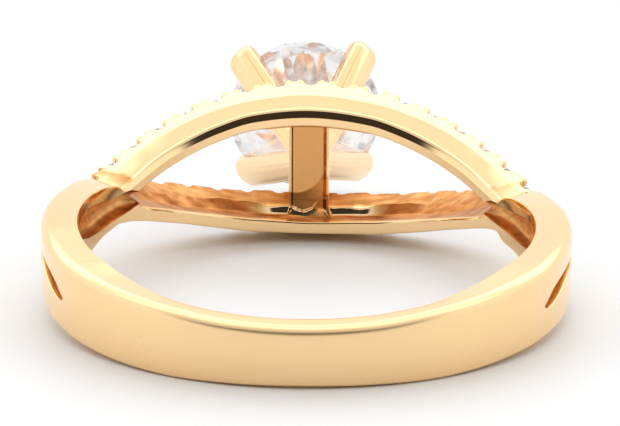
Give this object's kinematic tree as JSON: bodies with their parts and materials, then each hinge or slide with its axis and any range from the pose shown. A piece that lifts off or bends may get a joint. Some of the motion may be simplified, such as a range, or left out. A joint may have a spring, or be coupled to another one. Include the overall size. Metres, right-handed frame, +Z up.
{
  "type": "diamond ring",
  "caption": "Solitaire ring in yellow gold: a plain band that splits into crossing strands set with small stones, and a round brilliant held in claws.",
  "frame": {"origin": "bottom centre of the ring's bounding box, on the surface that it lies on", "axes": "+Z up from the surface, near the finger's line; +Y from the plain back of the band towards the centre stone; +X to the right seen from the back of the band"},
  "size_m": [0.02, 0.027, 0.0068],
  "materials": {
    "yellow_gold": "polished",
    "diamond": "polished",
    "small_diamond": "polished"
  },
  "bodies": {
    "root": {"mounting": "yellow_gold", "center_diamond": "diamond", "over_accent_01": "small_diamond", "over_accent_02": "small_diamond", "over_accent_03": "small_diamond", "over_accent_04": "small_diamond", "over_accent_05": "small_diamond", "over_accent_06": "small_diamond", "over_accent_07": "small_diamond", "over_accent_08": "small_diamond", "over_accent_09": "small_diamond", "over_accent_10": "small_diamond", "over_accent_11": "small_diamond", "over_accent_12": "small_diamond", "over_accent_13": "small_diamond", "over_accent_14": "small_diamond", "over_accent_15": "small_diamond", "over_accent_16": "small_diamond", "over_accent_17": "small_diamond", "over_accent_18": "small_diamond", "over_accent_19": "small_diamond", "under_accent_01": "small_diamond", "under_accent_02": "small_diamond", "under_accent_03": "small_diamond", "under_accent_04": "small_diamond", "under_accent_05": "small_diamond", "under_accent_06": "small_diamond", "under_accent_07": "small_diamond", "under_accent_08": "small_diamond", "under_accent_09": "small_diamond", "under_accent_10": "small_diamond", "under_accent_11": "small_diamond", "under_accent_12": "small_diamond", "under_accent_13": "small_diamond", "under_accent_14": "small_diamond", "under_accent_15": "small_diamond", "under_accent_16": "small_diamond", "under_accent_17": "small_diamond", "under_accent_18": "small_diamond", "under_accent_19": "small_diamond"}
  },
  "joints": []
}
